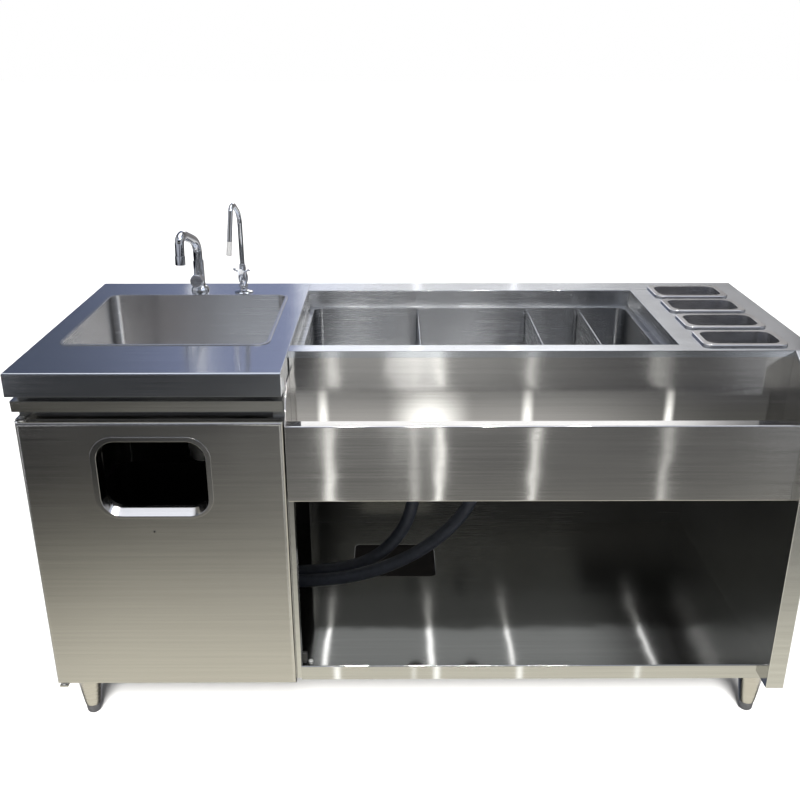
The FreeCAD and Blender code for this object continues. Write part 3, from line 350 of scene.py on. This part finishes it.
for number, (lamp_x, power) in enumerate(LAMPS):
    bpy.ops.object.light_add(type="AREA", location=(lamp_x, LAMP_Y, LAMP_Z))
    lamp = bpy.context.object
    lamp.name = f"lamp_{number}"
    lamp.data.energy = power
    lamp.data.color = LAMP_WHITE
    lamp.data.shape = "RECTANGLE"
    lamp.data.size = LAMP_SIZE
    lamp.data.size_y = LAMP_SIZE
    lamp.rotation_euler = (math.atan2(LAMP_AIM_Y - LAMP_Y, LAMP_Z - LAMP_AIM_Z), 0, math.pi)
    lamp.light_linking.receiver_collection = not_the_floor

# Camera: where the photograph was taken from, as solved with the part's sizes.
# Its focal length and centre are in pixels of the photograph.
CAMERA_AT = (-0.0537, -2.0503, 1.4421)
CAMERA_PITCH = math.radians(22.63)
CAMERA_YAW = math.radians(0.28)
FOCAL_PIXELS = 953.5
FRAME_PIXELS = 800
CENTRE_PIXEL = (400.9, 430.0)
bpy.ops.object.camera_add(location=CAMERA_AT, rotation=(math.pi / 2 - CAMERA_PITCH, 0, -CAMERA_YAW))
camera = bpy.context.object
camera.data.sensor_width = 36.0
camera.data.lens = FOCAL_PIXELS / FRAME_PIXELS * camera.data.sensor_width
camera.data.shift_x = (FRAME_PIXELS / 2 - CENTRE_PIXEL[0]) / FRAME_PIXELS
camera.data.shift_y = (CENTRE_PIXEL[1] - FRAME_PIXELS / 2) / FRAME_PIXELS
bpy.context.scene.camera = camera
bpy.context.scene.view_settings.view_transform = "Standard"

# Carcass: deck, panels and rails, all folded from brushed stainless sheet about 1.5 mm thick.
# The sheet is brushed along its length, so lamps draw out across the grain into upright streaks.
# The shader turns the grain about a far point, so that it runs along X on level sheets.
GRAIN_FROM = (3.0, 60.0, 0.0)
LINES_ALONG = 3
LINES_ACROSS = 900
BANDS_ALONG = 1.2
BANDS_ACROSS = 110
CLOUDS = 2.6
LINE_SHADE = (-0.35, 0.35)
BAND_SHADE = (0.1, 0.5)
CLOUD_SHADE = (0.0, 0.4)
DARKEST = 0.90
LIGHTEST = 1.08
LINE_GLOSS = 0.03
CLOUD_GLOSS = (-0.02, 0.03)
LINE_DEPTH = 0.00001
LEVEL_ABOVE = 0.7
MERGE_DISTANCE = 0.00001
FLAT_ANGLE = math.radians(0.5)
body_of = {node: body for body, nodes in frame["record"]["behaviour"]["bodies"].items() for node in nodes}


def brushed_steel(name, colour, roughness, waves=0.002, drawn=1.0):
    """Brushed sheet: waves is the depth of its slow unevenness, and drawn how far highlights stretch."""
    finish = Finish(name, Metallic=1.0, Anisotropic=drawn, Anisotropic_Rotation=0.25)
    x, y, z = finish.place()
    level = abs(finish.place("Normal")[2]) > LEVEL_ABOVE
    along = x + y * (1 - level)
    across = z + y * level
    lines = finish.noise(along * LINES_ALONG, across * LINES_ACROSS, 0.0, 3.0, 0.6)
    bands = finish.noise(along * BANDS_ALONG, across * BANDS_ACROSS, 5.0)
    clouds = finish.noise(x * CLOUDS, y * CLOUDS, z * CLOUDS, 3.0)
    shade = finish.spread(lines, *LINE_SHADE) + finish.spread(bands, *BAND_SHADE)
    shade = shade + finish.spread(clouds, *CLOUD_SHADE)
    dark = [value * DARKEST for value in colour]
    light = [min(1.0, value * LIGHTEST) for value in colour]
    finish.feed("Base Color", finish.tint(shade, dark, light))
    finish.feed("Roughness", finish.spread(lines, roughness - LINE_GLOSS, roughness + LINE_GLOSS)
                + finish.spread(clouds, *CLOUD_GLOSS))
    finish.relief(lines * LINE_DEPTH + clouds * waves)
    return finish.material


def dress(node, material, bevel=0.0005, angle=35.0):
    """A cleaned copy of a CAD node with softened edges, which stands for the node."""
    source = frame["nodes"][node]
    piece = bpy.data.objects.new(node + "_finished", source.data.copy())
    bpy.context.scene.collection.objects.link(piece)
    bpy.ops.object.select_all(action="DESELECT")
    piece.select_set(True)
    bpy.context.view_layer.objects.active = piece
    piece.data.materials.clear()
    piece.data.materials.append(material)
    bpy.ops.object.mode_set(mode="EDIT")
    bpy.ops.mesh.select_all(action="SELECT")
    bpy.ops.mesh.remove_doubles(threshold=MERGE_DISTANCE)
    bpy.ops.mesh.customdata_custom_splitnormals_clear()
    bpy.ops.mesh.dissolve_limited(angle_limit=FLAT_ANGLE)
    bpy.ops.object.mode_set(mode="OBJECT")
    edge = piece.modifiers.new("soft_edges", "BEVEL")
    edge.width = bevel
    edge.segments = 2
    edge.limit_method = "ANGLE"
    edge.angle_limit = math.radians(angle)
    bpy.ops.object.modifier_apply(modifier=edge.name)
    bpy.ops.object.shade_smooth_by_angle(angle=math.radians(angle))
    flatten = piece.modifiers.new("flat_faces", "WEIGHTED_NORMAL")
    flatten.keep_sharp = True
    flatten.weight = 100
    bpy.ops.object.modifier_apply(modifier=flatten.name)
    piece.data.use_auto_texspace = False
    piece.data.texspace_location = GRAIN_FROM
    piece.data.texspace_size = (1, 1, 1)
    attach(piece, body_of[node])
    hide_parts(node)


carcass_steel = brushed_steel("carcass_steel", (0.56, 0.56, 0.55), 0.15)
for node in ("deck_stiffeners", "left_side_panel", "right_side_panel", "partition_panel", "grip_rail",
             "door_pivot_brackets", "leg_sockets"):
    dress(node, carcass_steel)
deck_steel = brushed_steel("deck_steel", (0.48, 0.48, 0.47), 0.07, 0.002, 0.0)
dress("base_deck", deck_steel)
# The back panel gets a far darker colour than the rest of the sheet: painted shade that darkens the bay.
back_steel_painted_shade = brushed_steel("back_panel_painted_shade", (0.24, 0.24, 0.23), 0.24, 0.002, 0.6)
dress("back_panel", back_steel_painted_shade)

# Bumper: a small black rubber stop that stands on the deck beside the stile.
# It is moulded with rounded edges and pushed over a stud.
BUMPER_AT = (-0.2565, -0.3015, 0.1715)
BUMPER_SIZE = (0.012, 0.010, 0.027)
BUMPER_ROUNDING = 0.003
SMOOTH_ANGLE = math.radians(40)


def settle(name, size, location):
    """Names the newest primitive and puts its size and place into its mesh."""
    piece = bpy.context.object
    piece.name = name
    piece.scale = size
    piece.location = location
    bpy.ops.object.transform_apply(location=True, rotation=True, scale=True)
    return piece


def round_edges(piece, width):
    """Rounds the edges of a new piece for good."""
    rounding = piece.modifiers.new("rounding", "BEVEL")
    rounding.width = width
    rounding.segments = 3
    rounding.limit_method = "ANGLE"
    bpy.ops.object.modifier_apply(modifier=rounding.name)


bpy.ops.object.select_all(action="DESELECT")
bpy.ops.mesh.primitive_cube_add(size=1.0)
bumper = settle("deck_bumper", BUMPER_SIZE, BUMPER_AT)
round_edges(bumper, BUMPER_ROUNDING)
bpy.ops.object.shade_smooth_by_angle(angle=SMOOTH_ANGLE)
rubber = Finish("bumper_rubber", Roughness=0.4)
rubber.mottle(250, (0.012, 0.012, 0.012), (0.028, 0.028, 0.026))
bumper.data.materials.append(rubber.material)
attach(bumper, "carcass")

# Deck screw: a zinc-plated pan-head screw that holds the deck down next to the bumper.
# Its head has a round recess for the driver.
SCREW_AT = (-0.2440, -0.3000, 0.1600)
SCREW_RADIUS = 0.0055
SCREW_HEIGHT = 0.0042
SCREW_ROUNDING = 0.0018
RECESS_RIM = 0.0015
RECESS_DEPTH = 0.0015
bpy.ops.object.select_all(action="DESELECT")
bpy.ops.mesh.primitive_cylinder_add(vertices=24, radius=SCREW_RADIUS, depth=SCREW_HEIGHT)
screw = settle("deck_screw", (1, 1, 1), SCREW_AT)
round_edges(screw, SCREW_ROUNDING)
bpy.ops.object.mode_set(mode="EDIT")
bpy.ops.mesh.select_mode(type="FACE")
bpy.ops.mesh.select_all(action="DESELECT")
bpy.ops.object.mode_set(mode="OBJECT")
for face in screw.data.polygons:
    face.select = face.normal.z > 0.99
bpy.ops.object.mode_set(mode="EDIT")
bpy.ops.mesh.inset(thickness=RECESS_RIM)
bpy.ops.mesh.extrude_region_move(TRANSFORM_OT_translate={"value": (0, 0, -RECESS_DEPTH)})
bpy.ops.object.mode_set(mode="OBJECT")
bpy.ops.object.shade_smooth_by_angle(angle=SMOOTH_ANGLE)
zinc = Finish("screw_zinc", Metallic=0.5, Roughness=0.4)
zinc.mottle(400, (0.74, 0.74, 0.72), (0.86, 0.86, 0.84))
screw.data.materials.append(zinc.material)
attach(screw, "carcass")

# Deck card: the front of the deck mirrors a card under the ice well, a painted reflection of its lit strip.
# The card carries painted lamp streaks, which end on the deck where the card does, and painted shadow that
# darkens its right end.
DECK_STREAKS = ((-0.256, 0.012), (0.0405, 0.014), (0.273, 0.009), (0.666, 0.008))
DECK_LEFT_PAINTED_LIGHT = (0.34, 0.35, 0.35)
DECK_RIGHT_PAINTED_SHADOW = (0.04, 0.04, 0.04)
DECK_STREAK_LIGHT = (3.0, 3.0, 3.0)
deck_card = add_card("deck_card", (-0.288, 0.150, 0.512), (0.750, 0.3465, 0.512))
deck_x = deck_card.place()[0]
deck_painted_tone = deck_card.tint(deck_card.ramp(deck_x, 0.45, 0.74), DECK_LEFT_PAINTED_LIGHT, DECK_RIGHT_PAINTED_SHADOW)
deck_card.feed("Emission Color", deck_card.tint(
    deck_card.lines(deck_x, DECK_STREAKS), deck_painted_tone, DECK_STREAK_LIGHT))

# Flag: a dark plate under the deck's cut-out, which stands for the shaded floor below the station.
# The studio floor is lit for a white page and would shine through the cut-out.
FLAG_AT = (-0.060, 0.140, 0.150)
FLAG_SIZE = (0.26, 0.21, 1)
bpy.ops.object.select_all(action="DESELECT")
bpy.ops.mesh.primitive_plane_add(size=1.0)
flag = settle("cutout_flag", FLAG_SIZE, FLAG_AT)
flag.visible_glossy = False
flag_finish = Finish("cutout_flag", Roughness=0.9)
flag_finish.mottle(20, (0.018, 0.014, 0.012), (0.030, 0.024, 0.020))
flag.data.materials.append(flag_finish.material)

# Feet: tapered stainless cups on threaded stems, screwed into sockets under the deck.
# Each has a grey polymer tip that meets the floor.
FOOT_BEVEL = 0.0008
FOOT_ANGLE = 25.0
foot_steel = brushed_steel("foot_steel", (0.60, 0.58, 0.55), 0.24, 0.0)
tip_polymer = Finish("foot_tip_polymer", Roughness=0.55)
tip_polymer.mottle(120, (0.10, 0.10, 0.11), (0.15, 0.15, 0.16))
for corner in ("front_left", "front_right", "rear_left", "rear_right"):
    dress(f"foot_{corner}", foot_steel, FOOT_BEVEL, FOOT_ANGLE)
    dress(f"foot_tip_{corner}", tip_polymer.material, FOOT_BEVEL, FOOT_ANGLE)

# Sink top and bowl: a folded worktop with a deep downstand, and a pressed bowl welded into it.
# The bowl's back mirrors a card that stands at its front, a painted reflection that is paler to the right.
BOWL_BEVEL = 0.0006
BOWL_LEFT = (0.22, 0.20, 0.20)
BOWL_RIGHT = (0.62, 0.66, 0.72)
top_steel = brushed_steel("worktop_steel", (0.58, 0.60, 0.63), 0.15)
bowl_steel = brushed_steel("bowl_steel", (0.60, 0.60, 0.60), 0.24)
dress("sink_worktop", top_steel)
dress("sink_bowl", bowl_steel, BOWL_BEVEL)
bowl_card = add_card("bowl_card", (-0.742, -0.166, 0.640), (-0.326, -0.166, 0.755))
bowl_card.feed("Emission Color", bowl_card.tint(
    bowl_card.ramp(bowl_card.place()[0], -0.72, -0.42), BOWL_LEFT, BOWL_RIGHT))

# Waste and taps: chromed brass. The waste has a lift-out basket, the bar tap a front knob, and the slim
# gooseneck a three-armed handle with a porcelain button and a pale nylon tip.
TAP_BEVEL = 0.0004
TRIM_BEVEL = 0.0005
TAP_ANGLE = 30.0
chrome = Finish("tap_chrome", Metallic=1.0)
chrome.mottle(60, (0.74, 0.75, 0.77), (0.80, 0.81, 0.83))
chrome.feed("Roughness", chrome.spread(chrome.speckle(180), 0.03, 0.06))
for node in ("sink_waste_body", "strainer_basket", "bar_tap_body", "bar_tap_knob", "bar_tap_spout",
             "bar_tap_aerator", "gooseneck_body", "gooseneck_handle", "gooseneck_spout", "tap_nuts"):
    dress(node, chrome.material, TAP_BEVEL, TAP_ANGLE)
porcelain = Finish("index_porcelain", Roughness=0.12, Coat_Weight=0.5)
porcelain.mottle(300, (0.86, 0.88, 0.90), (0.92, 0.93, 0.95))
dress("gooseneck_button", porcelain.material, TRIM_BEVEL, TAP_ANGLE)
nylon = Finish("white_nylon", Roughness=0.35)
nylon.mottle(200, (0.74, 0.74, 0.73), (0.82, 0.82, 0.81))
dress("gooseneck_tip", nylon.material, TRIM_BEVEL, TAP_ANGLE)

# Bar top and ice well: the top sheet round the well, the stepped liner and its lift-out dividers.
# The liner is welded into the top, with rigid foam poured between it and the jacket.
dress("bar_top", top_steel)
well_steel = brushed_steel("well_steel", (0.48, 0.49, 0.50), 0.25)
for node in ("ice_well_liner", "ice_well_jacket", "false_bottom", "divider_guides", "divider_1", "divider_2",
             "divider_3", "well_drains", "hose_clamps"):
    dress(node, well_steel)
foam = Finish("insulating_foam", Roughness=0.9)
foam.mottle(90, (0.72, 0.64, 0.42), (0.80, 0.73, 0.52))
dress("ice_well_insulation", foam.material)

# Speed rail: one folded trough hung in front of the well, open along its top, with a plate at its end.
# The lower half of the trough's back mirrors a card that stands behind the rail's front.
# The card is a painted reflection with painted lamp streaks, brighter low down and to the left.
TROUGH_STREAKS = ((-0.213, 0.016), (0.017, 0.10), (0.229, 0.017), (0.536, 0.014))
TROUGH_TOP = 0.731
TROUGH_LOW_LEFT = (0.70, 0.69, 0.66)
TROUGH_LOW_RIGHT = (0.13, 0.13, 0.12)
TROUGH_HIGH_LEFT = (0.36, 0.36, 0.35)
TROUGH_HIGH_RIGHT = (0.10, 0.10, 0.10)
STREAK_HIGH = (1.1, 1.1, 1.05)
STREAK_LOW = (2.6, 2.6, 2.5)
rail_steel = brushed_steel("rail_steel", (0.58, 0.57, 0.56), 0.12)
for node in ("speed_rail", "rail_end_plate"):
    dress(node, rail_steel)
trough = add_card("trough_card", (-0.270, -0.3000, 0.575), (0.750, -0.3000, TROUGH_TOP))
trough_x, _, trough_z = trough.place()
rightward = trough.ramp(trough_x, 0.2, 0.7)
low_tone = trough.tint(rightward, TROUGH_LOW_LEFT, TROUGH_LOW_RIGHT)
high_tone = trough.tint(rightward, TROUGH_HIGH_LEFT, TROUGH_HIGH_RIGHT)
trough_tone = trough.tint(trough.ramp(trough_z, TROUGH_TOP, 0.64), high_tone, low_tone)
streak_tone = trough.tint(trough.ramp(trough_z, TROUGH_TOP, 0.66), STREAK_HIGH, STREAK_LOW)
trough.feed("Emission Color", trough.tint(trough.lines(trough_x, TROUGH_STREAKS), trough_tone, streak_tone))

# Hem card: the rail's hem mirrors a strip of light at the trough's back.
# The strip shows from the front only, so the trough itself does not mirror it.
HEM_LEFT = (1.7, 1.7, 1.7)
HEM_RIGHT = (0.35, 0.35, 0.35)
hem = add_card("hem_card", (-0.252, -0.2190, 0.755), (0.700, -0.2190, 0.800))
hem.feed("Emission Color", hem.tint(hem.ramp(hem.place()[0], 0.45, 0.70), HEM_LEFT, HEM_RIGHT))
from_behind = hem.node("ShaderNodeNewGeometry", {}, {}, "Backfacing")
lit_side = Wire(hem, hem.shader.outputs[0])
clear_side = hem.node("ShaderNodeBsdfTransparent", {}, {})
both_sides = hem.node("ShaderNodeMixShader", {}, {0: from_behind, 1: lit_side, 2: clear_side})
hem.plug(both_sides, hem.tree.nodes["Material Output"].inputs["Surface"])

# Garnish pans: drawn steel pans that hang by their flanges in the right end of the bar top.
# A folded housing closes in the space under them.
PAN_BEVEL = 0.0004
pan_steel = Finish("pan_steel", Metallic=1.0)
pan_steel.mottle(14, (0.60, 0.60, 0.61), (0.68, 0.68, 0.69))
pan_steel.feed("Roughness", pan_steel.spread(pan_steel.speckle(9, 4.0), 0.16, 0.24))
dress("garnish_housing", well_steel)
for number in range(1, 5):
    dress(f"garnish_pan_{number}", pan_steel.material, PAN_BEVEL)

# Waste door: a folded skin and back sheet with a pressed frame round the waste hole.
# It turns on two pivots at its left edge, in nylon bushes, and a polymer bin stands behind it.
FRAME_BEVEL = 0.0008
door_steel = brushed_steel("door_steel", (0.51, 0.50, 0.48), 0.17, 0.001)
for node in ("waste_door_skin", "waste_door_liner"):
    dress(node, door_steel)
dress("waste_hole_trim", rail_steel, FRAME_BEVEL)
for node in ("door_pivots", "socket_screws"):
    dress(node, well_steel)
dress("door_pivot_bushes", nylon.material)
bin_polymer = Finish("bin_polymer", Roughness=0.5)
bin_polymer.mottle(80, (0.012, 0.012, 0.013), (0.022, 0.022, 0.023))
dress("waste_bin", bin_polymer.material, FRAME_BEVEL)

# Door rivet: a small black plug pressed into the door skin below the hole.
# Its domed head stands on the skin, and its back is cut off just inside.
RIVET_AT = (-0.5479, -0.3322, 0.5021)
RIVET_RADIUS = 0.0023
RIVET_FLATNESS = (1, 0.5, 1)
RIVET_BACK = 0.0006
bpy.ops.object.select_all(action="DESELECT")
bpy.ops.mesh.primitive_uv_sphere_add(segments=20, ring_count=10, radius=RIVET_RADIUS)
rivet = settle("door_rivet", RIVET_FLATNESS, RIVET_AT)
bpy.ops.object.mode_set(mode="EDIT")
bpy.ops.mesh.select_all(action="SELECT")
bpy.ops.mesh.bisect(plane_co=(RIVET_AT[0], RIVET_AT[1] + RIVET_BACK, RIVET_AT[2]), plane_no=(0, 1, 0),
                    use_fill=True, clear_outer=True)
bpy.ops.object.mode_set(mode="OBJECT")
bpy.ops.object.shade_smooth_by_angle(angle=SMOOTH_ANGLE)
rivet.data.materials.append(rubber.material)
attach(rivet, "waste_door")

# Drains: white waste pipes under the sink, solvent-welded, and two dark rubber hoses.
# The hoses are clamped to the ice well's spigots and run through the partition to the manifold.
PIPE_BEVEL = 0.0008
pipe = Finish("waste_pipe", Roughness=0.4)
pipe.mottle(40, (0.66, 0.66, 0.63), (0.74, 0.74, 0.71))
for node in ("sink_trap", "drain_manifold"):
    dress(node, pipe.material, PIPE_BEVEL)
hose_rubber = Finish("hose_rubber", Roughness=0.42)
hose_rubber.mottle(70, (0.030, 0.036, 0.050), (0.045, 0.053, 0.072))
HOSE_DIAMETER = 0.032
HOSE_ROUTES = {
    "drain_hose_1": (
        (-0.004, 0.105, 0.470),
        (-0.004, 0.105, 0.385),
        (-0.032, 0.093, 0.272),
        (-0.118, 0.064, 0.196),
        (-0.246, 0.046, 0.178),
        (-0.372, 0.046, 0.178),
    ),
    "drain_hose_2": (
        (0.150, 0.105, 0.470),
        (0.150, 0.105, 0.390),
        (0.114, 0.094, 0.312),
        (0.025, 0.062, 0.240),
        (-0.100, 0.024, 0.194),
        (-0.240, 0.002, 0.178),
        (-0.372, 0.002, 0.178),
    ),
}
for node, route in HOSE_ROUTES.items():
    curve = bpy.data.curves.new(node + "_hose", "CURVE")
    curve.dimensions = "3D"
    spline = curve.splines.new("NURBS")
    spline.points.add(len(route) - 1)
    for point, place in zip(spline.points, route):
        point.co = (*place, 1)
    spline.order_u = 3
    spline.use_endpoint_u = True
    spline.resolution_u = 12
    curve.bevel_depth = HOSE_DIAMETER / 2
    curve.bevel_resolution = 8
    curve.use_fill_caps = True
    curve.materials.append(hose_rubber.material)
    hose = bpy.data.objects.new(node + "_hose", curve)
    hose.visible_glossy = False
    bpy.context.scene.collection.objects.link(hose)
    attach(hose, "carcass")
    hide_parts(node)
